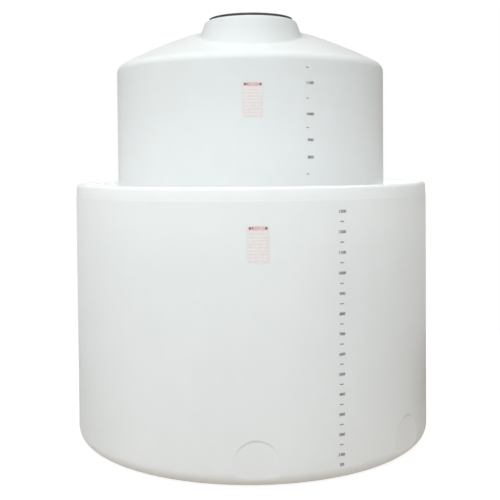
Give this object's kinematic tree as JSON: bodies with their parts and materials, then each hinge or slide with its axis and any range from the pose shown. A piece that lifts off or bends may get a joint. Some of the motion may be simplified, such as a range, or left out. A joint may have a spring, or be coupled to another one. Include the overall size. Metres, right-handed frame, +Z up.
{
  "type": "vertical storage tank in a containment basin",
  "caption": "Upright round moulded plastic storage tank with a sloping roof and an off-centre lidded manway, standing inside a wider open-topped containment basin.",
  "frame": {"origin": "centre of the basin's underside, on the floor it stands on", "axes": "+Z up, -Y towards the front, the side that the manway is set towards, +X to the right seen from the front"},
  "size_m": [2.16, 2.16, 2.5186],
  "materials": {
    "basin_plastic": "natural white moulded polyethylene, satin",
    "tank_plastic": "natural white moulded polyethylene, satin",
    "lid_plastic": "black moulded plastic, satin"
  },
  "bodies": {
    "vessels": {"basin_floor": "basin_plastic", "basin_wall_front": "basin_plastic", "basin_wall_front_right": "basin_plastic", "basin_wall_right": "basin_plastic", "basin_wall_back_right": "basin_plastic", "basin_wall_back": "basin_plastic", "basin_wall_back_left": "basin_plastic", "basin_wall_left": "basin_plastic", "basin_wall_front_left": "basin_plastic", "basin_rim": "basin_plastic", "tank_floor": "tank_plastic", "tank_wall_front": "tank_plastic", "tank_wall_front_right": "tank_plastic", "tank_wall_right": "tank_plastic", "tank_wall_back_right": "tank_plastic", "tank_wall_back": "tank_plastic", "tank_wall_back_left": "tank_plastic", "tank_wall_left": "tank_plastic", "tank_wall_front_left": "tank_plastic", "tank_roof_front": "tank_plastic", "tank_roof_front_right": "tank_plastic", "tank_roof_right": "tank_plastic", "tank_roof_back_right": "tank_plastic", "tank_roof_back": "tank_plastic", "tank_roof_back_left": "tank_plastic", "tank_roof_left": "tank_plastic", "tank_roof_front_left": "tank_plastic", "tank_crown": "tank_plastic", "manway_neck": "tank_plastic"},
    "lid": {"lid": "lid_plastic", "lid_vent": "lid_plastic"}
  },
  "joints": [
    {"name": "lid_lift", "type": "slide", "parent": "vessels", "child": "lid", "axis": [0, 0, 1], "range_m": [0, 0.3]}
  ]
}
